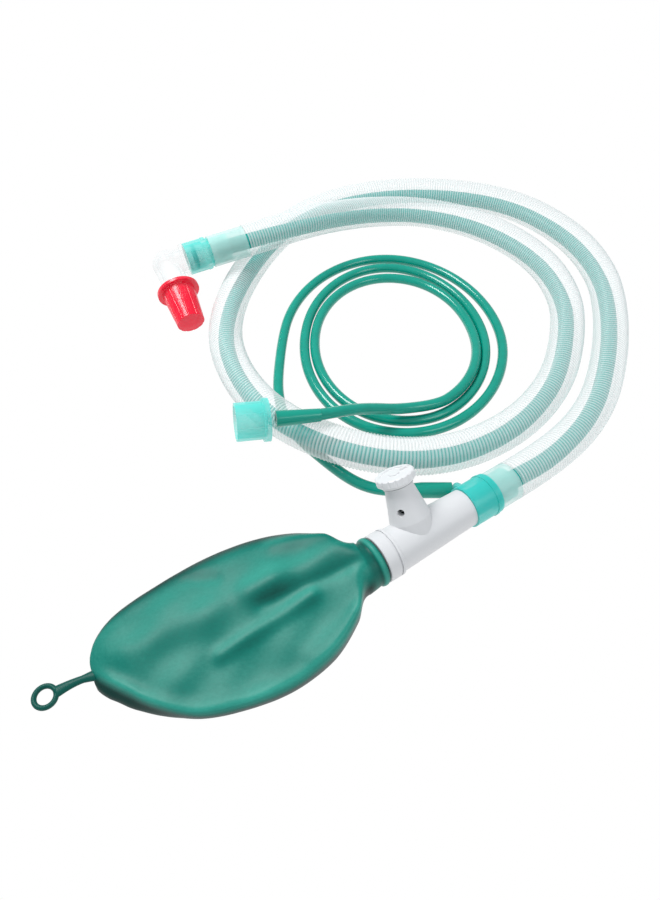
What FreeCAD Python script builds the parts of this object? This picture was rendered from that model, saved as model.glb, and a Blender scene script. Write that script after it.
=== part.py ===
import FreeCAD, Part
import os
from math import atan, cos, pi, radians, sin, tan
from FreeCAD import Matrix, Vector as V

# Coaxial anaesthetic breathing system: a reservoir bag, a valve block with an adjustable
# pressure-limiting valve, a clear corrugated hose with a fresh gas tube inside it, a swivel
# elbow for the mask or airway, and a coiled fresh gas supply tube. Millimetres, +Z up.
# The origin is on the floor, under the middle of the bag, the valve block and its hose adaptor.

# --- driving dimensions: standard conical connectors and tube sizes ---
cone_22 = 22.0            # large breathing-system cone, outer diameter of the male
cone_15 = 15.0            # small cone, inner diameter of the female
hose_od, hose_id = 27.0, 22.0
inner_od, inner_id = 12.5, 9.5
tube_od, tube_id = 8.0, 5.0
flare_od = 11.0           # the supply tube's belled ends
bell_length = 30.0
floor_gap = 0.1           # the tubes lie this far above the floor

# --- layout of the groups on the floor ---
centre_x, centre_y = 1.8, 1.4                # subtracted from every place below
block_yaw = 33.0                             # valve block axis, from +X towards +Y
block_place = V(48.9, 11.5, 16.5)            # bag end of the block's collar
branch_tilt = 50.0                           # relief valve axis above the horizontal
branch_at = 30.5                             # relief valve axis, along the block
spigot_tilt = -32.0                          # fresh gas boss, above the horizontal
spigot_way = V(-1, 0, 0)                     # its tail, towards the coil
spigot_at = 81.0                             # fresh gas boss, along the block
swivel_place = V(-51.0, 300.0, 41.8)         # hose end at the patient connector
swivel_yaw, swivel_dip = 203.0, 4.0          # patient connector axis, and its fall
elbow_turn = 15.0                            # patient port, below the horizontal
inlet_place = V(-19.5, 98.7, 45.5)           # flange face of the machine inlet connector
inlet_end = V(6.6, 104.4, 42.5)              # narrow end of the bell on it
bag_tail = V(-112.0, -55.0, 0.0)
bag_yaw = 22.0
loop_middle = V(-134.5, -65.5, 4.0)          # hanging ring on the bag's tail
loop_r, loop_hole_r = 7.8, 5.2

# --- routes, in order along each tube: x, y, height of the axis ---
hose_route = [
    (176, 95, 13.8), (213, 135, 13.6), (236, 185, 13.6), (252, 240, 13.6),
    (258, 296, 13.6), (241, 356, 13.6), (193, 408, 13.6), (115, 426, 13.6),
    (37, 413, 13.6), (-21, 369, 13.6), (-56, 292, 13.6), (-67, 222, 13.6),
    (-50, 165, 16.5), (-16, 117, 22.3), (40, 88, 22.3), (98, 90, 15.5),
    (150, 116, 13.6), (188, 158, 13.6), (209, 208, 13.6), (220, 262, 13.6),
    (206, 320, 13.6), (162, 368, 13.6), (108, 388, 14.5), (63, 379, 20),
    (28, 355, 31), (-4, 325, 43),
]
lead_route = [
    (59.2, 70.2, 4.9), (45.7, 73.8, 4.2), (33.6, 80.8, 4.2), (19.5, 93.5, 4.2),
    (-2, 116, 4.2), (-12.5, 134, 4.2), (-18, 154, 4.2), (-19.5, 172, 4.2),
]
tail_route = [(30, 115, 36), (48, 125, 27), (71, 134.5, 15), (98, 141, 10)]

# --- coil of the supply tube: an oval ring, three turns deep ---
coil_middle = V(71.5, 221.0, 0.0)
coil_half_x, coil_half_y = 98.0, 113.0
hole_middle = V(74.5, 218.0, 0.0)
hole_half_x, hole_half_y = 63.5, 72.0
coil_height = 13.4

# --- valve block, measured along its own axis from the collar's bag end ---
collar_r, collar_length = 15.7, 11.0
block_r_bag, block_r_hose, block_end = 14.6, 12.7, 69.0
block_bore_r = 9.2
socket_depth = 14.0
turret_r, turret_end = 13.2, 14.0            # straight foot of the branch
branch_r_top, branch_top = 8.8, 36.0
branch_bore_r = 7.2
vent_height, vent_r = 22.4, 2.3
vent_angles = (170, 242, 313)                # round the branch, from its upper near side
seat_height = 15.0
disc_lift, carrier_travel = 1.5, 3.0
knob_r, knob_under_r, knob_foot, knob_top = 12.5, 9.8, 37.2, 44.2
cuff_r, cuff_end, sleeve_end = 14.0, 90.0, 107.0

# --- patient connector, measured along its own axis from the hose end ---
stem_start, sleeve_length, housing_start, housing_end = 15.0, 31.0, 33.0, 51.5
housing_r, swivel_bore_r = 12.9, 10.7
elbow_corner = 68.0
port_length = 44.0
cap_mouth, cap_end, cap_flange_r = 27.0, 60.0, 17.0

os.makedirs("parts", exist_ok=True)
Z = V(0, 0, 1)


def spot(x, y, z=0.0):
    """A place on the floor plan, counted from the origin."""
    return V(x - centre_x, y - centre_y, z)


def frame(origin, z_axis, x_axis):
    """The matrix that carries a local frame to its place."""
    z = V(z_axis).normalize()
    x = V(x_axis)
    x = (x - z * x.dot(z)).normalize()
    y = z.cross(x)
    return Matrix(x.x, y.x, z.x, origin.x, x.y, y.y, z.y, origin.y, x.z, y.z, z.z, origin.z)


def rod(radius, start, end, radius_end=None):
    """A cylinder or cone on the local Z axis."""
    if radius_end is None:
        return Part.makeCylinder(radius, end - start, V(0, 0, start))
    return Part.makeCone(radius, radius_end, end - start, V(0, 0, start))


def pipe(outer, inner, start, end):
    return rod(outer, start, end).cut(rod(inner, start - 1, end + 1))


def spoke(radius, start, end, height, angle):
    """A cylinder that leaves the local Z axis at a right angle."""
    way = V(cos(radians(angle)), sin(radians(angle)), 0)
    return Part.makeCylinder(radius, end - start, V(0, 0, height) + way * start, way)


def ring_of(shape, count, first=0.0):
    """Copies of a shape, evenly spaced round the local Z axis."""
    copies = []
    for k in range(count):
        copy = shape.copy()
        copy.rotate(V(0, 0, 0), Z, first + 360.0 * k / count)
        copies.append(copy)
    return copies


def export(shape, node, place=None):
    """Moves a shape from its local frame and writes it."""
    if place is not None:
        shape = shape.copy()
        shape.Placement = FreeCAD.Placement(place).multiply(shape.Placement)
    solid = shape.Solids[0] if len(shape.Solids) == 1 else shape
    print(node, "valid", solid.isValid(), "solids", len(shape.Solids), "mm3", round(solid.Volume))
    solid.exportStep("parts/" + node + ".step")


# --- tubes that lie free ---
def tube_path(points, name):
    """Straight runs joined by the largest tangent arcs that the runs allow."""
    edges = []
    last = points[0]
    radii = []
    for k in range(1, len(points) - 1):
        before = points[k] - points[k - 1]
        after = points[k + 1] - points[k]
        turn = before.getAngle(after)
        reach = 0.45 * min(before.Length, after.Length)
        radius = reach / tan(turn / 2)
        radii.append(round(radius))
        way_in, way_out = V(before).normalize(), V(after).normalize()
        start = points[k] - way_in * reach
        end = points[k] + way_out * reach
        heart = (way_out - way_in).normalize()
        middle = points[k] + heart * (radius / cos(turn / 2) - radius)
        edges.append(Part.LineSegment(last, start).toShape())
        edges.append(Part.Arc(start, middle, end).toShape())
        last = end
    edges.append(Part.LineSegment(last, points[-1]).toShape())
    wire = Part.Wire(edges)
    print(name, "length", round(wire.Length), "bend radii", radii)
    return wire


def swept(wire, radius):
    """A round bar along a path."""
    first = wire.Edges[0]
    begin = first.Vertexes[0].Point
    way = first.tangentAt(first.FirstParameter)
    profile = Part.Wire(Part.makeCircle(radius, begin, way))
    return wire.makePipeShell([profile], True, False)


def hollow_tube(points, outer, inner, name):
    wire = tube_path(points, name)
    solid = swept(wire, outer / 2).cut(swept(wire, inner / 2))
    ideal = pi * (outer ** 2 - inner ** 2) / 4 * wire.Length
    print(name, "volume over section times length", round(solid.Volume / ideal, 4))
    return solid


def bell(straight):
    """A tube end stretched over a spigot: its mouth, a straight part, then a cone."""
    narrow = tube_od / 2 + 0.35
    outside = rod(flare_od / 2, 0, straight)
    outside = outside.fuse(rod(flare_od / 2, straight, bell_length, narrow))
    inside = rod(3.4, -1, 16).fuse(rod(tube_id / 2, 15, bell_length + 1))
    return outside.cut(inside)


# --- axes of the groups ---
block_axis = V(cos(radians(block_yaw)), sin(radians(block_yaw)), 0)
block_side = V(-block_axis.y, block_axis.x, 0)


def tilted(angle):
    """A direction square to the block's axis, this far above the horizontal."""
    return block_side * cos(radians(angle)) + Z * sin(radians(angle))


block_origin = spot(block_place.x, block_place.y, block_place.z)
block_frame = frame(block_origin, block_axis, tilted(branch_tilt))
branch_origin = block_origin + block_axis * branch_at
branch_frame = frame(branch_origin, tilted(branch_tilt), block_axis)

fall = radians(swivel_dip)
swivel_axis = V(cos(radians(swivel_yaw)) * cos(fall), sin(radians(swivel_yaw)) * cos(fall), -sin(fall))
swivel_level = V(-swivel_axis.y, swivel_axis.x, 0).normalize()
swivel_up = swivel_axis.cross(swivel_level)
if swivel_up.z < 0:
    swivel_up = swivel_up * -1
port_axis = swivel_level * cos(radians(elbow_turn)) - swivel_up * sin(radians(elbow_turn))
swivel_origin = spot(swivel_place.x, swivel_place.y, swivel_place.z)
swivel_frame = frame(swivel_origin, swivel_axis, port_axis)
corner = swivel_origin + swivel_axis * elbow_corner
port_frame = frame(corner, port_axis, swivel_axis)

inlet_origin = spot(inlet_place.x, inlet_place.y, inlet_place.z)
inlet_tip = spot(inlet_end.x, inlet_end.y, inlet_end.z)
inlet_axis = (inlet_tip - inlet_origin).normalize()
inlet_frame = frame(inlet_origin, inlet_axis * -1, Z)


# --- valve block ---
def manifold_body():
    """Straight tube with a conical branch, its bores, and the ring of vents."""
    outside = rod(block_r_bag, collar_length, block_end - 2, block_r_hose)
    outside = outside.fuse(rod(block_r_hose, block_end - 2, block_end))
    up = V(1, 0, 0)
    foot = Part.makeCylinder(turret_r, turret_end, V(0, 0, branch_at), up)
    cone_height = branch_top - turret_end
    cone = Part.makeCone(turret_r, branch_r_top, cone_height, V(turret_end, 0, branch_at), up)
    outside = outside.fuse(foot).fuse(cone)
    bore = rod(block_bore_r, collar_length - 1, block_end + 1)
    socket = rod(cone_22 / 2, block_end - socket_depth, block_end + 1)
    way = Part.makeCylinder(branch_bore_r, branch_top + 2, V(0, 0, branch_at), V(1, 0, 0))
    outside = outside.cut(bore).cut(socket).cut(way)
    for angle in vent_angles:
        across = V(0, cos(radians(angle)), sin(radians(angle)))
        start = V(vent_height, 0, branch_at) + across * 4
        outside = outside.cut(Part.makeCylinder(vent_r, 12, start, across))
    return outside.removeSplitter()


def bag_mount_collar():
    """Ring that the bag's neck butts on, with a groove near its block side."""
    ring = pipe(collar_r, cone_22 / 2, 0, collar_length)
    groove = pipe(collar_r + 1, collar_r - 0.9, 7.6, 8.8)
    edges = [e for e in ring.Edges if abs(e.Length - 2 * pi * collar_r) < 1]
    return ring.makeFillet(0.8, edges).cut(groove)


def bag_mount_stem():
    """Male 22 mm cone inside the bag's neck."""
    stem = pipe(cone_22 / 2, block_bore_r, -12, collar_length)
    lip = rod(cone_22 / 2, -12, -10, cone_22 / 2 + 0.5).cut(rod(block_bore_r, -13, -9))
    return stem.fuse(lip)


def hose_adaptor():
    """Hose cuff with the fresh gas boss on its side and a stem at each end."""
    body = rod(cone_22 / 2, block_end - socket_depth + 1, block_end + 1)
    body = body.fuse(rod(cuff_r, block_end + 0.2, cuff_end))
    body = body.fuse(rod(cuff_r + 0.5, cuff_end - 4.6, cuff_end - 3))
    body = body.fuse(rod(cone_22 / 2 - 0.1, cuff_end, sleeve_end - 2))
    turn = spigot_tilt - branch_tilt
    body = body.fuse(spoke(4.6, 10, 23.6, spigot_at, turn))
    body = body.cut(rod(block_bore_r, block_end - socket_depth, sleeve_end))
    body = body.cut(spoke(2.0, 8, 21.5, spigot_at, turn))
    return body.cut(spigot_hole())


def spigot_axes():
    """Corner of the spigot, and the way that it points."""
    out = tilted(spigot_tilt)
    knee = block_origin + block_axis * spigot_at + out * 20.5
    return knee, spigot_way


def spigot_hole():
    knee, way = spigot_axes()
    hole = Part.makeCylinder(2.9, 9, knee - way * 1.5, way)
    local = FreeCAD.Placement(block_frame.inverse())
    hole.Placement = local.multiply(hole.Placement)
    return hole


def fresh_gas_spigot():
    """Barbed tail for the supply tube, pressed into the boss."""
    knee, way = spigot_axes()
    place = frame(knee, way, Z)
    tail = rod(2.9, -1.5, 20)
    for k in range(3):
        tail = tail.fuse(rod(3.35, 9 + 3.5 * k, 12 + 3.5 * k, 2.9))
    tail = tail.cut(rod(1.8, 0, 21))
    return tail, place


def inner_gas_elbow():
    """Carries the fresh gas from the boss to a barb in the middle of the cuff."""
    hub = rod(4.65, spigot_at - 5, sleeve_end - 5).cut(rod(3.4, spigot_at - 3, sleeve_end))
    arm = spoke(3.2, 2, block_bore_r - 0.1, spigot_at, spigot_tilt - branch_tilt)
    hub = hub.fuse(arm)
    return hub.cut(spoke(1.9, 0, 12, spigot_at, spigot_tilt - branch_tilt))


def hose_sleeve(outer, start, end):
    """Plain end cuff of the corrugated hose."""
    return pipe(outer, cone_22 / 2 + 0.02, start, end)


def fused(shapes):
    whole = shapes[0]
    for shape in shapes[1:]:
        whole = whole.fuse(shape)
    return whole


export(manifold_body(), "manifold_body", block_frame)
export(bag_mount_collar(), "bag_mount_collar", block_frame)
export(bag_mount_stem(), "bag_mount_stem", block_frame)
export(hose_adaptor(), "hose_adaptor", block_frame)
spigot, spigot_frame = fresh_gas_spigot()
export(spigot, "fresh_gas_spigot", spigot_frame)
export(inner_gas_elbow(), "inner_gas_elbow", block_frame)
export(hose_sleeve(13.2, cuff_end + 0.3, sleeve_end), "hose_sleeve_machine", block_frame)


# --- relief valve, along the branch's own axis ---
def valve_seat():
    seat = pipe(branch_bore_r, 4.6, seat_height, seat_height + 1.4)
    return seat.fuse(pipe(5.4, 4.6, seat_height + 1.4, seat_height + 2.0))


def valve_disc():
    """Plate that lifts off the seat, with a guide pin for the spring."""
    low = seat_height + 2.03
    return rod(6.5, low, low + 1.2).fuse(rod(2.1, low + 1.2, low + 4.2))


def valve_spring():
    """Compression spring between the disc and the carrier."""
    wire_r, coil_r, low, high, turns = 0.4, 3.3, 18.8, 27.0, 5.5
    helix = Part.makeHelix((high - low) / turns, high - low, coil_r)
    profile = Part.Wire(Part.makeCircle(wire_r, V(coil_r, 0, 0), V(0, 1, 0)))
    coil = Part.Wire(helix.Edges).makePipeShell([profile], True, True)
    coil.translate(V(0, 0, low))
    return coil


def spring_carrier():
    """Threaded cup that the knob winds down on the spring."""
    cup = rod(6.85, 27.5, 31.3)
    cup = cup.cut(rod(1.6, 27, 32))
    for slot in ring_of(Part.makeBox(1.6, 1.2, 5, V(5.4, -0.6, 27)), 2):
        cup = cup.cut(slot)
    return cup


def knob():
    """Fluted cap with a drive boss that reaches into the branch."""
    cap = rod(knob_under_r, knob_foot, knob_foot + 2.4, knob_r)
    cap = cap.fuse(rod(knob_r, knob_foot + 2.4, knob_top - 0.8))
    cap = cap.fuse(rod(knob_r, knob_top - 0.8, knob_top, knob_r - 0.8))
    cap = cap.fuse(rod(6.7, 31.6, knob_foot + 1))
    flute = Part.makeCylinder(1.1, 8, V(knob_r + 0.65, 0, knob_foot + 1.5))
    for cutter in ring_of(flute, 18):
        cap = cap.cut(cutter)
    return cap.cut(pipe(9.0, 3.5, knob_top - 0.5, knob_top + 1))


def knob_retaining_ring():
    """Clip at the top of the branch, under the knob."""
    return pipe(branch_r_top + 0.8, branch_bore_r, branch_top, branch_top + 0.8)


export(valve_seat(), "valve_seat", branch_frame)
export(valve_disc(), "valve_disc", branch_frame)
export(valve_spring(), "valve_spring", branch_frame)
export(spring_carrier(), "spring_carrier", branch_frame)
export(knob(), "relief_knob", branch_frame)
export(knob_retaining_ring(), "knob_retaining_ring", branch_frame)
pointer = Part.makeBox(6.5, 1.4, 1.0, V(4.6, -0.7, knob_top - 0.5))
export(pointer, "knob_pointer", branch_frame)

# --- reservoir bag: cross sections square to the bag's axis ---
# distance from the tail, half width on the hose side and on the near side, height
bag_sections = [
    (1, 7, 6.5, 8), (4, 13, 12, 10), (10, 20, 19, 12), (22, 29, 30, 14), (45, 38.5, 43, 17),
    (75, 44.5, 48.5, 20), (101, 46, 48, 23), (120, 44.5, 44.5, 26), (138, 38, 38, 29),
    (152, 29, 28.5, 31), (160, 19, 18.5, 31.5),
]
bag_axis = V(cos(radians(bag_yaw)), sin(radians(bag_yaw)), 0)
bag_side = V(-bag_axis.y, bag_axis.x, 0)


def bag_section(distance, far_half, near_half, height):
    """A rounded section that is flat on the floor."""
    points = []
    for k in range(16):
        angle = 2 * pi * (k + 0.5) / 16
        across = cos(angle)
        across = (far_half if across > 0 else near_half) * abs(across) ** 0.75 * (1 if across > 0 else -1)
        rise = abs(sin(angle)) ** 0.8 * (1 if sin(angle) > 0 else -1)
        z = 0.2 + height * (1 + rise) / 2
        points.append(spot(bag_tail.x, bag_tail.y) + bag_axis * distance + bag_side * across + Z * z)
    curve = Part.BSplineCurve()
    curve.interpolate(points, PeriodicFlag=True)
    return Part.Wire(curve.toShape())


def neck_section(distance, radius):
    circle = Part.makeCircle(radius, V(0, 0, distance), Z)
    circle.Placement = FreeCAD.Placement(block_frame).multiply(circle.Placement)
    return circle


def reservoir_bag():
    sections = [bag_section(*s) for s in bag_sections]
    return Part.makeLoft(sections, True, False)


def bag_neck():
    """Rubber sleeve pulled over the stem, with a rolled bead at its mouth."""
    sleeve = rod(15.4, -14.6, -9, 14.4).fuse(rod(14.4, -9, -1.2))
    bead = Part.makeTorus(13.7, 2.2, V(0, 0, -2.6))
    return sleeve.fuse(bead).cut(rod(cone_22 / 2 + 0.55, -12.6, 0))


def bag_loop():
    """Hanging strap and ring moulded on the bag's tail."""
    middle = spot(loop_middle.x, loop_middle.y, loop_middle.z)
    tail = spot(bag_tail.x, bag_tail.y, loop_middle.z)
    way = tail - middle
    place = frame(middle, Z, way)
    near, far = loop_r - 2.0, way.Length + 4
    outline = [V(near, -4, -1.6), V(near, 4, -1.6), V(far, 2.6, -1.6), V(far, -2.6, -1.6), V(near, -4, -1.6)]
    strap = Part.Face(Part.makePolygon(outline)).extrude(V(0, 0, 3.2))
    ring = pipe(loop_r, loop_hole_r, -1.6, 1.6)
    return strap.fuse(ring), place


export(reservoir_bag(), "reservoir_bag")
export(bag_neck(), "bag_neck", block_frame)
loop, loop_frame = bag_loop()
export(loop, "bag_hanging_loop", loop_frame)


# --- patient connector ---
def swivel_body():
    """Male stem for the hose, and the swivel housing."""
    body = rod(cone_22 / 2, stem_start, sleeve_length)
    body = body.fuse(rod(11.8, sleeve_length, housing_start))
    body = body.fuse(rod(housing_r, housing_start, housing_end))
    body = body.fuse(rod(housing_r + 0.4, housing_start + 1, housing_start + 3))
    bore = rod(9.0, stem_start - 1, housing_end)
    return body.cut(bore).cut(rod(swivel_bore_r, housing_start + 3.5, housing_end + 1))


def inner_tube_spider():
    """Three-armed ring that holds the inner tube in the middle of the stem."""
    hub = pipe(7.4, inner_od / 2 + 0.02, 18, 23)
    arm = Part.makeBox(2.2, 1.6, 5, V(7.0, -0.8, 18))
    spider = fused([hub] + ring_of(arm, 3))
    return spider.common(rod(9.0, 17, 24))


def elbow():
    """Right-angled swivel elbow that ends in the patient port."""
    place = FreeCAD.Placement(swivel_frame.inverse()).multiply(FreeCAD.Placement(port_frame))
    port = rod(cone_22 / 2, 0, port_length)
    port_bore = rod(8.0, 0, port_length - 16)
    port_bore = port_bore.fuse(rod(cone_15 / 2, port_length - 17, port_length + 1))
    port.Placement = place
    port_bore.Placement = place
    body = rod(10.3, 38, elbow_corner)
    body = body.fuse(rod(housing_r + 0.3, housing_end + 0.35, housing_end + 3.4))
    body = body.fuse(Part.makeSphere(12.2, V(0, 0, elbow_corner))).fuse(port)
    bore = rod(8.6, 37, elbow_corner).fuse(Part.makeSphere(9.2, V(0, 0, elbow_corner)))
    body = body.cut(bore).cut(port_bore)
    return body.cut(pipe(11, 9.5, 43, 45.2))


def swivel_seal():
    return Part.makeTorus(9.56, 1.06, V(0, 0, 44.1)).common(pipe(10.65, 9.5, 43, 45.2))


def port_cap():
    """Removable dust cap with a wide flange and grip flutes."""
    shell = rod(cap_flange_r, cap_mouth, cap_mouth + 2.4)
    shell = shell.fuse(rod(13.4, cap_mouth + 2.4, cap_end, 11.0))
    shell = shell.cut(rod(cone_22 / 2 + 0.08, cap_mouth - 1, port_length + 1.2))
    shell = shell.cut(rod(8.6, port_length + 1, cap_end - 2))
    flute = Part.makeCylinder(1.0, 34, V(13.9, 0, cap_mouth + 3.6), V(-2.4, 0, 30.6))
    for cutter in ring_of(flute, 12):
        shell = shell.cut(cutter)
    return shell


export(hose_sleeve(12.7, 0.0, sleeve_length - 0.2), "hose_sleeve_patient", swivel_frame)
export(swivel_body(), "swivel_body", swivel_frame)
export(inner_tube_spider(), "inner_tube_spider", swivel_frame)
export(elbow(), "swivel_elbow", swivel_frame)
export(swivel_seal(), "swivel_seal", swivel_frame)
export(port_cap(), "patient_port_cap", port_frame)


# --- machine inlet connector of the supply tube ---
def inlet_cup():
    """Female 22 mm cup with a rim flange on its tube side."""
    cup = rod(12.7, 0, 22).fuse(rod(14.4, 0, 4.2))
    return cup.cut(rod(cone_22 / 2 + 0.03, 2.2, 23)).cut(rod(3.1, -1, 3))


def inlet_stem():
    """Clear tail that joins the cup to the belled tube end."""
    stem = rod(3.08, -18, 2.2).fuse(rod(5.2, -4.4, 0))
    return stem.cut(rod(1.9, -19, 3))


export(inlet_cup(), "inlet_connector", inlet_frame)
export(inlet_stem(), "inlet_stem", inlet_frame)
export(bell(2), "supply_bell_inlet", frame(inlet_origin + inlet_axis * 4.6, inlet_axis, Z))
knee, way = spigot_axes()
lead_start = knee + way * 5.2
export(bell(20), "supply_bell_spigot", frame(lead_start, way, Z))

# --- the long tubes ---
hose_start = block_origin + block_axis * (sleeve_end + 0.05)
hose_points = [hose_start] + [spot(*p) for p in hose_route] + [swivel_origin - swivel_axis * 0.05]
export(hollow_tube(hose_points, hose_od, hose_id, "breathing hose"), "breathing_hose")

sag = (hose_id - inner_od) / 2 - 0.7
inner_points = [block_origin + block_axis * (sleeve_end - 14), hose_start + V(0, 0, -0.4)]
inner_points += [spot(x, y, z - sag) for x, y, z in hose_route]
inner_points += [swivel_origin + V(0, 0, -0.4), swivel_origin + swivel_axis * 24]
export(hollow_tube(inner_points, inner_od, inner_id, "inner tube"), "inner_gas_tube")

lead_points = [lead_start + way * bell_length] + [spot(*p) for p in lead_route]
export(hollow_tube(lead_points, tube_od, tube_id, "supply tube lead"), "supply_tube_lead")
tail_points = [inlet_origin + inlet_axis * (4.6 + bell_length)] + [spot(*p) for p in tail_route]
export(hollow_tube(tail_points, tube_od, tube_id, "supply tube tail"), "supply_tube_tail")


def oval(middle, half_x, half_y):
    """An oval disc standing on the floor, longer along Y."""
    curve = Part.Ellipse(V(0, 0, 0), half_y, half_x)
    disc = Part.Face(Part.Wire(curve.toShape())).extrude(V(0, 0, coil_height))
    disc.rotate(V(0, 0, 0), Z, 90)
    disc.translate(spot(middle.x, middle.y, floor_gap))
    return disc


coil = oval(coil_middle, coil_half_x, coil_half_y).cut(oval(hole_middle, hole_half_x, hole_half_y))
export(coil, "supply_tube_coil")
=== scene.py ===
from math import cos, pi, radians, sin, tau

import bpy
import numpy as np
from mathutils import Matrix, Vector


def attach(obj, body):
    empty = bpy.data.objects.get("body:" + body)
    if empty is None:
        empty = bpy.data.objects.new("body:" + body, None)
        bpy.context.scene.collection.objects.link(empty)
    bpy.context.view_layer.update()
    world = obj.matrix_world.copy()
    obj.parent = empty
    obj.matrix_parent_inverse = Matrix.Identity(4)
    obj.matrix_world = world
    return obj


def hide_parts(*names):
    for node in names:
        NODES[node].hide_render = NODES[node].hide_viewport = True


# Looks of a coaxial anaesthetic breathing system: ribbed clear hose with a fresh gas tube inside,
# reservoir bag, valve block, swivel elbow with a cap, and a coiled supply tube. Metres, +Z up.

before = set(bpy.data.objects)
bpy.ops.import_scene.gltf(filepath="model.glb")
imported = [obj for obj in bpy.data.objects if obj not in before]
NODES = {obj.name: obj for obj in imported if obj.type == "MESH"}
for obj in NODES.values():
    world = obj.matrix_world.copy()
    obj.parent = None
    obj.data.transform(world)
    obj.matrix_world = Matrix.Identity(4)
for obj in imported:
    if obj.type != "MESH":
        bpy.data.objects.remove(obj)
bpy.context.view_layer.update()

MM = 0.001
CENTRE = Vector((1.8, 1.4, 0.0))          # the CAD's origin on its floor plan, mm
UP = Vector((0, 0, 1))


def spot(x, y, z=0.0):
    """A place on the floor plan in mm, in metres from the origin."""
    return (Vector((x, y, z)) - CENTRE) * MM


def flat_way(yaw):
    """A level direction, in degrees from +X."""
    return Vector((cos(radians(yaw)), sin(radians(yaw)), 0))


# --- camera ---
camera_data = bpy.data.cameras.new("camera")
camera_data.lens = 26.56
camera_data.sensor_width = 36.0
camera = bpy.data.objects.new("camera", camera_data)
bpy.context.collection.objects.link(camera)
camera.location = spot(20.5, -184.0, 375.0)
camera.rotation_euler = (radians(38.0), 0, 0)
bpy.context.scene.camera = camera

# --- axes of the groups, as in the CAD ---
BLOCK_YAW = 33.0
BLOCK_AXIS = flat_way(BLOCK_YAW)
BLOCK_SIDE = Vector((-BLOCK_AXIS.y, BLOCK_AXIS.x, 0))
BLOCK = spot(48.9, 11.5, 16.5)
SPIGOT_TILT = radians(-32.0)
SPIGOT_OUT = BLOCK_SIDE * cos(SPIGOT_TILT) + UP * sin(SPIGOT_TILT)
SPIGOT_WAY = Vector((-1, 0, 0))
SPIGOT_ALONG, SPIGOT_REACH, SPIGOT_LENGTH = 0.081, 0.0205, 0.0332
KNEE = BLOCK + BLOCK_AXIS * SPIGOT_ALONG + SPIGOT_OUT * SPIGOT_REACH
LEAD_START = KNEE + SPIGOT_WAY * SPIGOT_LENGTH
FALL = radians(4.0)
SWIVEL_AXIS = flat_way(203.0) * cos(FALL) - UP * sin(FALL)
SWIVEL = spot(-51.0, 300.0, 41.8)
INLET = spot(-19.5, 98.7, 45.5)
INLET_WAY = (spot(6.6, 104.4, 42.5) - INLET).normalized()
TAIL_REACH = 0.0326                       # from the inlet cup back to the tube's end

HOSE_START = BLOCK + BLOCK_AXIS * 0.10705
HOSE_END = SWIVEL - SWIVEL_AXIS * 0.00005
HOSE_OD, INNER_OD, TUBE_OD = 0.027, 0.0125, 0.008
SAG = 4.05                                # how far the inner tube lies below the hose axis, mm
INNER_START = BLOCK + BLOCK_AXIS * 0.093
INNER_REACH = 0.024                       # into the swivel, past the sleeve
ENDS_DROP = Vector((0, 0, -0.0004))       # its slack where it leaves each sleeve

# --- routes, in order along each tube: x, y, height of the axis, mm ---
HOSE_ROUTE = [
    (176, 95, 13.8), (213, 135, 13.6), (236, 185, 13.6), (252, 240, 13.6),
    (258, 296, 13.6), (241, 356, 13.6), (193, 408, 13.6), (115, 426, 13.6),
    (37, 413, 13.6), (-21, 369, 13.6), (-56, 292, 13.6), (-67, 222, 13.6),
    (-50, 165, 16.5), (-16, 117, 22.3), (40, 88, 22.3), (98, 90, 15.5),
    (150, 116, 13.6), (188, 158, 13.6), (209, 208, 13.6), (220, 262, 13.6),
    (206, 320, 13.6), (162, 368, 13.6), (108, 388, 14.5), (63, 379, 20),
    (28, 355, 31), (-4, 325, 43),
]
LEAD_ROUTE = [
    (59.2, 70.2, 4.9), (45.7, 73.8, 4.2), (33.6, 80.8, 4.2), (19.5, 93.5, 4.2),
    (-2, 116, 4.2), (-12.5, 134, 4.2), (-18, 154, 4.2), (-20, 178, 4.2),
]
TAIL_ROUTE = [(71, 134.5, 15), (48, 125, 27), (30, 115, 36)]

# --- coil: angle round its middle, half width, half depth, height of the axis, mm ---
COIL_X, COIL_Y = 73.0, 218.0
COIL_FROM, COIL_TO, COIL_STEP = -65, 895, 15
COIL_SHAPE = [
    (-65, 65.7, 82.0, 10.5), (-45, 65.7, 82.0, 10.0), (-30, 65.7, 82.0, 9.3), (-15, 65.6, 82.0, 8.0),
    (0, 65.5, 82.0, 5.0), (15, 65.5, 82.0, 4.1), (90, 65.5, 82.0, 4.1),
    (180, 65.2, 83.5, 4.1), (270, 68.0, 85.6, 4.1), (295, 70.0, 88.0, 4.1), (360, 73.9, 92.0, 4.1),
    (450, 73.8, 97.0, 4.1), (540, 73.6, 97.2, 4.1), (630, 78.5, 97.5, 4.1), (720, 88.1, 104.0, 4.1),
    (810, 90.0, 110.3, 4.1), (910, 91.4, 111.0, 4.1),
]


def coil_points():
    """Turns from the inside out."""
    table = np.array(COIL_SHAPE, float)
    points = []
    for angle in range(COIL_FROM, COIL_TO + 1, COIL_STEP):
        half_x, half_y, z = (np.interp(angle, table[:, 0], table[:, k]) for k in (1, 2, 3))
        x = COIL_X + half_x * cos(radians(angle))
        points.append((x, COIL_Y + half_y * sin(radians(angle)), float(z)))
    return points


# --- curves ---
def nurbs(name, points, radius=0.0):
    """One smooth spline with the route's points as its control points."""
    data = bpy.data.curves.new(name, "CURVE")
    data.dimensions = "3D"
    spline = data.splines.new("NURBS")
    spline.points.add(len(points) - 1)
    for point, place in zip(spline.points, points):
        point.co = (place[0], place[1], place[2], 1.0)
    spline.order_u = 3
    spline.use_endpoint_u = True
    spline.resolution_u = 16
    data.bevel_depth = radius
    data.bevel_resolution = 5
    data.use_fill_caps = False
    obj = bpy.data.objects.new(name, data)
    bpy.context.collection.objects.link(obj)
    return obj


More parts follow.
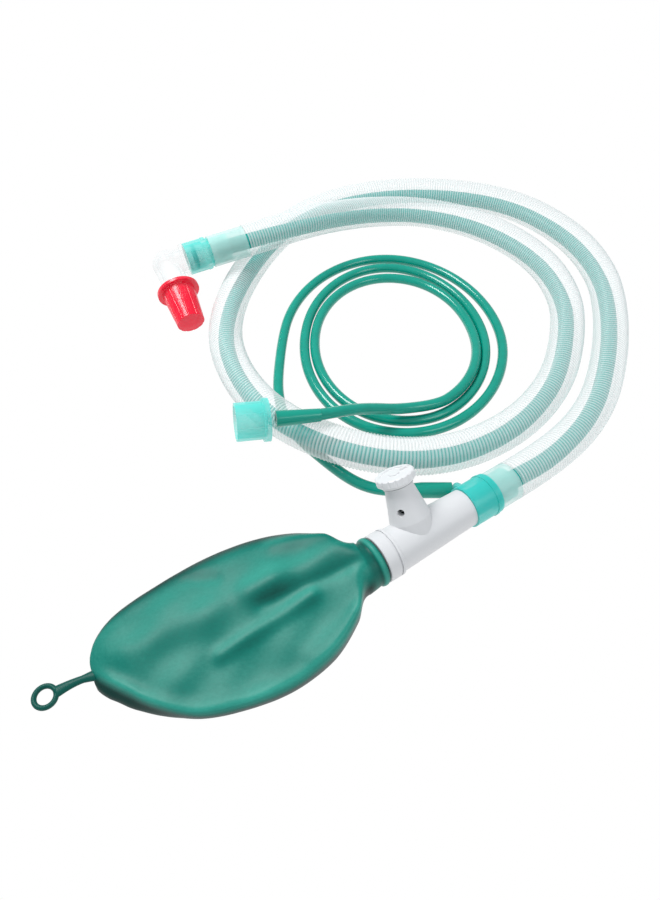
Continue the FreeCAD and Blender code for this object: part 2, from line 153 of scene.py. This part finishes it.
def centreline(obj):
    """The spline's own line."""
    graph = bpy.context.evaluated_depsgraph_get()
    mesh = bpy.data.meshes.new_from_object(obj.evaluated_get(graph))
    line = np.array([v.co[:] for v in mesh.vertices])
    bpy.data.meshes.remove(mesh)
    return line


def evenly(line, step):
    """The line at even steps along its length, and its tangents."""
    along = np.r_[0, np.cumsum(np.linalg.norm(np.diff(line, axis=0), axis=1))]
    count = int(round(along[-1] / step)) + 1
    at = np.linspace(0, along[-1], count)
    points = np.stack([np.interp(at, along, line[:, k]) for k in range(3)], axis=1)
    smooth = points.copy()
    for _ in range(8):
        smooth[1:-1] = (smooth[:-2] + 2 * smooth[1:-1] + smooth[2:]) / 4
    ways = np.gradient(smooth, axis=0)
    ways /= np.linalg.norm(ways, axis=1)[:, None]
    return smooth, ways


def mesh_object(name, verts, faces, attributes=None):
    mesh = bpy.data.meshes.new(name)
    mesh.from_pydata([tuple(v) for v in verts], [], [tuple(f) for f in faces])
    mesh.update()
    for key, values in (attributes or {}).items():
        layer = mesh.attributes.new(key, "FLOAT", "POINT")
        layer.data.foreach_set("value", np.asarray(values, np.float32))
    mesh.shade_smooth()
    obj = bpy.data.objects.new(name, mesh)
    bpy.context.collection.objects.link(obj)
    return obj


def ring_faces(rings, sides):
    """Quads between each ring of points and the next."""
    faces = []
    for i in range(rings - 1):
        for k in range(sides):
            a, b = i * sides + k, i * sides + (k + 1) % sides
            faces.append((a, b, b + sides, a + sides))
    return faces


def tube_mesh(name, line, step, radii, sides, attribute):
    """A round tube along a line. radii and attribute are taken ring by ring."""
    points, ways = evenly(line, step)
    side = np.cross(ways[0], (0, 0, 1))
    side /= np.linalg.norm(side)
    angles = np.arange(sides) * tau / sides
    verts, values = [], []
    for i, (point, way) in enumerate(zip(points, ways)):
        side = side - way * side.dot(way)
        side /= np.linalg.norm(side)
        up = np.cross(side, way)
        r = radii[i % len(radii)]
        for angle in angles:
            verts.append(point + (side * cos(angle) + up * sin(angle)) * r)
            values.append(attribute[i % len(attribute)])
    faces = ring_faces(len(points), sides)
    return mesh_object(name, verts, faces, {"rib": values}), points


# --- materials ---
def material(name):
    made = bpy.data.materials.new(name)
    made.use_nodes = True
    tree = made.node_tree
    tree.nodes.clear()
    return made, tree


def node(tree, kind, inputs=(), **settings):
    made = tree.nodes.new(kind)
    for key, value in settings.items():
        setattr(made, key, value)
    for key, value in dict(inputs).items():
        if hasattr(value, "is_output"):
            tree.links.new(value, made.inputs[key])
        else:
            made.inputs[key].default_value = value
    return made


def finish_material(tree, surface):
    out = node(tree, "ShaderNodeOutputMaterial")
    tree.links.new(surface, out.inputs["Surface"])


def grain(tree, scale, strength, distance):
    """Fine unevenness for a moulded surface."""
    noise = node(tree, "ShaderNodeTexNoise", {"Scale": scale, "Detail": 4.0})
    bump = node(tree, "ShaderNodeBump", {"Strength": strength, "Distance": distance,
                                         "Height": noise.outputs["Fac"]})
    return noise, bump.outputs["Normal"]


def solid_plastic(name, colour, dark, roughness, grain_scale=900.0, coat=0.0):
    made, tree = material(name)
    noise, normal = grain(tree, grain_scale, 0.12, 0.0004)
    mix = node(tree, "ShaderNodeMix", {"Factor": noise.outputs["Fac"], "A": (*dark, 1), "B": (*colour, 1)},
               data_type="RGBA")
    shader = node(tree, "ShaderNodeBsdfPrincipled", {
        "Base Color": mix.outputs["Result"], "Roughness": roughness, "Coat Weight": coat, "Normal": normal,
        "Specular IOR Level": 0.3})
    finish_material(tree, shader.outputs["BSDF"])
    return made


def veil(name, colour, roughness, face, edge, glow=0.0):
    """See-through plastic: thin to the eye face on, denser at its edges."""
    made, tree = material(name)
    noise, normal = grain(tree, 500.0, 0.08, 0.0004)
    # glow: emission in the plastic's own colour, a painted glow
    shader = node(tree, "ShaderNodeBsdfPrincipled", {
        "Base Color": (*colour, 1), "Roughness": roughness, "Normal": normal,
        "Emission Color": (*colour, 1), "Emission Strength": glow})
    clear = node(tree, "ShaderNodeBsdfTransparent")
    facing = node(tree, "ShaderNodeLayerWeight", {"Blend": 0.35})
    weight = node(tree, "ShaderNodeMapRange", {
        "Value": facing.outputs["Facing"], "To Min": face, "To Max": edge})
    mix = node(tree, "ShaderNodeMixShader", {
        0: weight.outputs["Result"], 1: clear.outputs["BSDF"], 2: shader.outputs["BSDF"]})
    finish_material(tree, mix.outputs["Shader"])
    return made


def ribbed_veil(name, colour, groove_shade, face, crest, edge):
    """The hose wall: its ribs are denser than the grooves between them."""
    made, tree = material(name)
    rib = node(tree, "ShaderNodeAttribute", attribute_name="rib")
    # the grooves are tinted greyer than the crests: painted shade in the grooves
    tint = node(tree, "ShaderNodeMix", {"Factor": rib.outputs["Fac"], "A": (*groove_shade, 1), "B": (*colour, 1)},
                data_type="RGBA")
    # a faint white emission: painted light that whitens the wall
    shader = node(tree, "ShaderNodeBsdfPrincipled", {
        "Base Color": tint.outputs["Result"], "Roughness": 0.28, "Emission Color": (1, 1, 1, 1),
        "Emission Strength": 0.04})
    clear = node(tree, "ShaderNodeBsdfTransparent")
    facing = node(tree, "ShaderNodeLayerWeight", {"Blend": 0.4})
    body = node(tree, "ShaderNodeMapRange", {
        "Value": rib.outputs["Fac"], "To Min": face, "To Max": crest})
    weight = node(tree, "ShaderNodeMapRange", {
        "Value": facing.outputs["Facing"], "To Min": body.outputs["Result"], "To Max": edge})
    mix = node(tree, "ShaderNodeMixShader", {
        0: weight.outputs["Result"], 1: clear.outputs["BSDF"], 2: shader.outputs["BSDF"]})
    finish_material(tree, mix.outputs["Shader"])
    return made


def rubber(name, plain_tone=None):
    """Satin bag rubber, coloured by its painted-light attribute: painted shade in its folds and walls,
    painted highlight on the slopes that face the window.
    """
    made, tree = material(name)
    patches = node(tree, "ShaderNodeTexNoise", {"Scale": 60.0, "Detail": 4.0, "Roughness": 0.6})
    uneven = node(tree, "ShaderNodeMapRange", {
        "Value": patches.outputs["Fac"], "To Min": -0.09, "To Max": 0.09})
    # painted light and shade, read from the mesh's attribute
    painted_light = node(tree, "ShaderNodeAttribute", attribute_name="painted_light")
    source = painted_light.outputs["Fac"] if plain_tone is None else plain_tone
    shade = node(tree, "ShaderNodeMath", {0: source, 1: uneven.outputs["Result"]}, operation="ADD")
    ramp = node(tree, "ShaderNodeValToRGB", {"Fac": shade.outputs["Value"]})
    # shaded, middle and lit copies of the rubber colour: painted shade up to painted highlight
    stops = ramp.color_ramp.elements
    stops[0].position, stops[0].color = 0.0, (0.0, 0.035, 0.028, 1)
    stops[1].position, stops[1].color = 1.0, (0.06, 0.42, 0.33, 1)
    middle = stops.new(0.45)
    middle.color = (0.0, 0.17, 0.13, 1)
    fine = node(tree, "ShaderNodeTexNoise", {"Scale": 700.0, "Detail": 4.0})
    bump = node(tree, "ShaderNodeBump", {"Strength": 0.12, "Distance": 0.0004, "Height": fine.outputs["Fac"]})
    shader = node(tree, "ShaderNodeBsdfPrincipled", {
        "Base Color": ramp.outputs["Color"], "Roughness": 0.4, "Normal": bump.outputs["Normal"],
        "Specular IOR Level": 0.22})
    finish_material(tree, shader.outputs["BSDF"])
    return made


def steel(name):
    made, tree = material(name)
    noise, normal = grain(tree, 1200.0, 0.1, 0.0002)
    shader = node(tree, "ShaderNodeBsdfPrincipled", {
        "Base Color": (0.7, 0.71, 0.72, 1), "Metallic": 1.0, "Roughness": 0.3, "Normal": normal})
    finish_material(tree, shader.outputs["BSDF"])
    return made


WHITE = solid_plastic("white_moulding", (0.72, 0.72, 0.73), (0.66, 0.67, 0.68), 0.42)
KNOB_WHITE = solid_plastic("white_knob", (0.8, 0.8, 0.81), (0.74, 0.75, 0.76), 0.36)
TURQUOISE = veil("turquoise_cuff", (0.04, 0.66, 0.6), 0.28, 0.6, 0.92)
TURQUOISE_CLEAR = veil("turquoise_clear", (0.12, 0.8, 0.73), 0.2, 0.36, 0.82)
CLEAR = veil("clear_plastic", (0.84, 0.9, 0.9), 0.12, 0.05, 0.36)
SLEEVE = veil("clear_sleeve", (0.66, 0.92, 0.88), 0.3, 0.3, 0.6)
RIBBED = ribbed_veil("ribbed_hose", (0.96, 0.97, 0.97), (0.86, 0.88, 0.88), 0.12, 0.5, 0.5)
INNER_GREEN = solid_plastic("inner_tube_green", (0.0, 0.4, 0.35), (0.0, 0.3, 0.27), 0.4)
GREEN = solid_plastic("supply_tube_green", (0.0, 0.34, 0.25), (0.0, 0.25, 0.18), 0.2, 300.0, coat=0.35)
BAG = rubber("bag_rubber")
STRAP = rubber("strap_rubber", 0.16)
# the cap gets a faint emission in its own colour: a painted glow
RED = veil("red_cap", (0.86, 0.004, 0.035), 0.22, 0.8, 0.98, 0.08)
STEEL = steel("spring_steel")
SEAL = solid_plastic("seal_black", (0.03, 0.03, 0.03), (0.02, 0.02, 0.02), 0.6)

LOOKS = {
    "manifold_body": WHITE, "bag_mount_collar": WHITE, "bag_mount_stem": WHITE,
    "hose_adaptor": TURQUOISE, "fresh_gas_spigot": TURQUOISE, "inner_gas_elbow": CLEAR,
    "hose_sleeve_machine": SLEEVE, "valve_seat": WHITE, "valve_disc": CLEAR, "valve_spring": STEEL,
    "spring_carrier": WHITE, "relief_knob": KNOB_WHITE, "knob_retaining_ring": WHITE,
    "knob_pointer": KNOB_WHITE, "hose_sleeve_patient": SLEEVE, "swivel_body": TURQUOISE_CLEAR,
    "inner_tube_spider": TURQUOISE_CLEAR, "swivel_elbow": CLEAR, "swivel_seal": SEAL,
    "patient_port_cap": RED, "inlet_connector": TURQUOISE_CLEAR, "inlet_stem": CLEAR,
    "supply_bell_inlet": GREEN, "supply_bell_spigot": GREEN,
}


def paint(obj, look):
    obj.data.materials.clear()
    obj.data.materials.append(look)


for name, look in LOOKS.items():
    for held in NODES[name].material_slots:
        held.material = look

# --- breathing hose ---
hose_points = [HOSE_START] + [spot(*p) for p in HOSE_ROUTE] + [HOSE_END]
guide = nurbs("hose_guide", hose_points)
hose_line = centreline(guide)
bpy.data.objects.remove(guide)
RIB_PITCH = 0.0024
hose, hose_path = tube_mesh("ribbed_breathing_hose", hose_line, RIB_PITCH / 4,
                            (0.0134, 0.0131, 0.0126, 0.0131), 28, (1.0, 0.55, 0.0, 0.55))
paint(hose, RIBBED)
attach(hose, "system")
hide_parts("breathing_hose")

# --- fresh gas tube inside the hose ---
inner_points = [INNER_START, HOSE_START + ENDS_DROP]
inner_points += [spot(x, y, z - SAG) for x, y, z in HOSE_ROUTE]
inner_points += [SWIVEL + ENDS_DROP, SWIVEL + SWIVEL_AXIS * INNER_REACH]
inner = nurbs("inner_gas_line", inner_points, INNER_OD / 2)
paint(inner, INNER_GREEN)
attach(inner, "system")
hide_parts("inner_gas_tube")

# --- supply tube, from the spigot round the coil to the inlet connector ---
supply_points = [LEAD_START] + [spot(*p) for p in LEAD_ROUTE]
supply_points += [spot(*p) for p in reversed(coil_points())]
supply_points += [spot(*p) for p in TAIL_ROUTE] + [INLET + INLET_WAY * TAIL_REACH]
supply = nurbs("supply_tube", supply_points, TUBE_OD / 2)
paint(supply, GREEN)
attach(supply, "system")
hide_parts("supply_tube_lead", "supply_tube_coil", "supply_tube_tail")

# --- reservoir bag: tables along its axis from the tail, mm ---
BAG_TAIL = spot(-112.2, -55.1) / MM
BAG_WAY = flat_way(21.9)
BAG_SIDE = Vector((-BAG_WAY.y, BAG_WAY.x, 0))
FAR_EDGE = [(0, 9), (1, 13), (4, 19.5), (8.7, 25), (15.7, 30.3), (22.4, 33.6), (32, 37), (42, 39.8),
            (58, 43.6), (75, 46.6), (92, 47.8), (108, 47.2), (123.5, 44.2), (138, 38.6), (152, 29.6),
            (163, 19)]
TOP_EDGE = [(0, 3), (1, 1), (3, -2), (7, -7), (12.5, -13), (18.5, -19.5), (25, -27), (32, -33.6),
            (41, -40.6), (50.6, -46), (61, -49.2), (72, -51), (82, -52), (93, -52.2), (102, -51.6),
            (111, -50), (121, -47.2), (132, -42.6), (140, -37.4), (150, -29), (158, -21.5), (163, -17.5)]
FLOOR_EDGE = [(0, -5), (1.7, -9.8), (6, -15.4), (11, -20.2), (15.4, -24.6), (22.4, -30), (29.6, -34.8),
              (39.4, -40), (49.5, -44), (60, -46.6), (71, -48.4), (82, -49.5), (93, -50), (112, -47.5),
              (133, -39.5), (150, -26), (163, -14)]
BAG_TOP = [(0, 6), (6, 8.6), (20, 11), (45, 14), (75, 17), (100, 19.5), (125, 23), (145, 27), (163, 31.4)]
# folds of the top: from and to along the axis and across it, half width, height
FOLDS = [
    (22, 4, 110, 9, 11.0, 2.0), (96, 9, 160, 11, 8.0, 2.0), (70, -20, 128, -9, 4.5, 1.6),
    (118, 33, 166, 22, 6.0, 1.6), (64, 34, 80, 26, 4.0, -0.8), (116, -40, 146, -29, 6.0, 1.0),
    (34, -26, 60, -18, 9.0, 0.8), (100, -2, 162, -2, 4.0, -1.1), (24, 27, 60, 33, 7.0, -0.7),
]
BAG_ROUND = 96
BAG_RINGS = 130


def smooth_curve(table, at):
    """A smooth curve through a table's rows, with a round start."""
    xs, ys = np.array(table, float).T
    xs, at = np.sqrt(xs), at ** 0.5
    slopes = np.gradient(ys, xs)
    k = int(np.clip(np.searchsorted(xs, at) - 1, 0, len(xs) - 2))
    width = xs[k + 1] - xs[k]
    t = np.clip((at - xs[k]) / width, 0, 1)
    a = (2 * t**3 - 3 * t**2 + 1) * ys[k] + (t**3 - 2 * t**2 + t) * width * slopes[k]
    return a + (-2 * t**3 + 3 * t**2) * ys[k + 1] + (t**3 - t**2) * width * slopes[k + 1]


def ease(value):
    value = np.clip(value, 0.0, 1.0)
    return value * value * (3 - 2 * value)


def fold_height(u, v):
    """Height that the folds add at a place on the top."""
    total = 0.0
    for u0, v0, u1, v1, width, height in FOLDS:
        span_u, span_v = u1 - u0, v1 - v0
        t = ((u - u0) * span_u + (v - v0) * span_v) / (span_u**2 + span_v**2)
        held = min(max(t, 0.0), 1.0)
        gap2 = (u - u0 - held * span_u) ** 2 + (v - v0 - held * span_v) ** 2
        total += height * float(np.exp(-gap2 / width**2))
    wave = 0.35 * sin(0.11 * u + 0.13 * v) + 0.25 * sin(0.19 * u - 0.16 * v + 1.7)
    return total + wave


def bag_ring(u):
    """One closed section of the bag, and the painted light and shade at each of its points."""
    far, rim, foot, top = (smooth_curve(t, u) for t in (FAR_EDGE, TOP_EDGE, FLOOR_EDGE, BAG_TOP))
    width, middle = far - rim, (far + foot) / 2
    corners = [
        (min(rim, foot) * 0.5 + (rim + foot) / 4 - 0.6, 0.45 * top), (rim - 0.5, 0.84 * top),
        (rim + 1.2, 0.97 * top), (rim + 0.25 * width, 0.99 * top), (rim + 0.5 * width, 1.02 * top),
        (far - 0.25 * width, 0.98 * top), (far - 0.09 * width, 0.86 * top), (far, 0.55 * top),
        (far - 0.02 * width, 0.22 * top), (far - 0.07 * width, 0.0), (middle, 0.0),
        (foot + 0.05 * width, 0.0), (foot, 0.1 * top),
    ]
    loop = np.array(corners + corners[:1])
    along = np.r_[0, np.cumsum(np.linalg.norm(np.diff(loop, axis=0), axis=1))]
    at = np.linspace(0, along[-1], BAG_ROUND, endpoint=False)
    ring = np.stack([np.interp(at, along, loop[:, k]) for k in (0, 1)], axis=1)
    for _ in range(3):
        ring = (np.roll(ring, 1, axis=0) + 2 * ring + np.roll(ring, -1, axis=0)) / 4
    turn = pi - np.arange(BAG_ROUND) * tau / BAG_ROUND
    neck = np.stack([-0.4 + 16.2 * np.cos(turn), 16.6 + 15.6 * np.sin(turn)], axis=1)
    share = ease((u - 149) / 15.0)
    ring = ring * (1 - share) + neck * share
    fade = float(ease(u / 12.0) * ease((170 - u) / 14.0))
    places, painted_light_values = [], []
    for v, z in ring:
        on_top = float(ease((z / top - 0.62) / 0.3))
        lip = 2.2 * float(np.exp(-(((v - rim) / 7.0) ** 2))) * (1 - share)
        lift = fade * on_top * (fold_height(u, v) + lip)
        slope = fold_height(u, v + 1.5) - fold_height(u, v - 1.5) - 0.6 * lip
        # painted light: lighter where the folds slope towards the window and along the near rim, painted
        # shade on the walls
        painted_light_values.append(on_top * (0.5 - 0.2 * fade * slope) - (1 - on_top) * 0.02)
        places.append((BAG_TAIL + BAG_WAY * u + BAG_SIDE * v + UP * (z + lift + 0.3)) * MM)
    return places, painted_light_values


def bag_mesh():
    """Skin of the bag, its neck over the stem, and the rolled bead."""
    verts, painted_light_values = [], []
    for i in range(BAG_RINGS):
        t = i / (BAG_RINGS - 1)
        places, light = bag_ring(163.0 * (0.45 * t + 0.55 * (1 - cos(pi * t)) / 2))
        verts += places
        painted_light_values += light
    # neck rings: along the axis and radius in mm, then painted light, with a painted highlight on the rolled
    # bead and painted shade under it
    neck = [(-10.0, 15.2, 0.3), (-7.6, 14.9, 0.25), (-5.6, 14.6, 0.15), (-5.0, 15.0, 0.4), (-4.4, 15.7, 0.7),
            (-3.4, 16.0, 0.75), (-2.2, 16.0, 0.6), (-1.2, 15.6, 0.3), (-0.7, 14.9, 0.1), (-0.6, 13.6, 0.1),
            (-0.8, 12.4, 0.1), (-1.2, 11.8, 0.1)]
    for along, radius, painted_light in neck:
        heart = BLOCK + BLOCK_AXIS * along * MM
        for k in range(BAG_ROUND):
            angle = pi - tau * k / BAG_ROUND
            verts.append(heart + (BLOCK_SIDE * cos(angle) + UP * sin(angle)) * radius * MM)
            painted_light_values.append(painted_light)
    faces = ring_faces(BAG_RINGS + len(neck), BAG_ROUND)
    faces.append(tuple(range(BAG_ROUND)))
    return mesh_object("reservoir_bag_skin", verts, faces, {"painted_light": painted_light_values})


bag = bag_mesh()
paint(bag, BAG)
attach(bag, "system")
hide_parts("reservoir_bag", "bag_neck")


def bag_loop():
    """Ring and strap moulded on the tail."""
    middle = spot(-136.1, -66.3, 4.0)
    root = spot(-111.0, -54.6, 4.6)
    bpy.ops.mesh.primitive_torus_add(location=middle, major_radius=0.0060, minor_radius=0.0015,
                                     major_segments=64, minor_segments=20)
    ring = bpy.context.object
    ring.name = "bag_hanging_ring"
    ring.data.shade_smooth()
    ring.scale = (1, 1, 1.15)
    way = (root - middle).normalized()
    side = Vector((-way.y, way.x, 0))
    verts = []
    steps, sides = 14, 16
    for i in range(steps):
        t = i / (steps - 1)
        heart = (middle + way * 0.0056).lerp(root, t) + side * 0.0009 * sin(pi * t)
        half = 0.0036 - 0.0014 * sin(pi * min(1, t * 1.25) / 2) + 0.0012 * max(0, t - 0.7) / 0.3
        for k in range(sides):
            angle = tau * k / sides
            verts.append(heart + side * half * cos(angle) + UP * 0.0017 * sin(angle))
    faces = ring_faces(steps, sides)
    faces.append(tuple(range(sides)))
    strap = mesh_object("bag_hanging_strap", verts, faces)
    return ring, strap


loop_ring, loop_strap = bag_loop()
for piece in (loop_ring, loop_strap):
    paint(piece, STRAP)
    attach(piece, "system")
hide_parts("bag_hanging_loop")

# --- floor, light and view ---
bpy.ops.mesh.primitive_plane_add(size=6.0, location=(0, 0, -0.0002))
floor = bpy.context.object
floor.name = "floor"
floor_look, floor_tree = material("white_floor")
glow = node(floor_tree, "ShaderNodeEmission", {"Color": (1, 1, 1, 1), "Strength": 1.0})
finish_material(floor_tree, glow.outputs["Emission"])
paint(floor, floor_look)

world = bpy.data.worlds.new("sky")
bpy.context.scene.world = world
world.use_nodes = True
world.node_tree.nodes["Background"].inputs["Color"].default_value = (0.9, 0.95, 1.0, 1)
world.node_tree.nodes["Background"].inputs["Strength"].default_value = 0.55


def lamp(name, place, aim, size, power):
    data = bpy.data.lights.new(name, "AREA")
    data.shape = "RECTANGLE"
    data.size, data.size_y = size
    data.energy = power
    obj = bpy.data.objects.new(name, data)
    bpy.context.collection.objects.link(obj)
    obj.location = place
    obj.rotation_euler = (Vector(aim) - Vector(place)).to_track_quat("-Z", "Y").to_euler()


lamp("key", (-0.45, 0.45, 0.9), (0.03, 0.12, 0), (0.5, 0.35), 9.0)
lamp("fill", (0.7, -0.3, 0.8), (0.05, 0.1, 0), (0.5, 0.5), 2.5)
bpy.context.scene.view_settings.view_transform = "Standard"
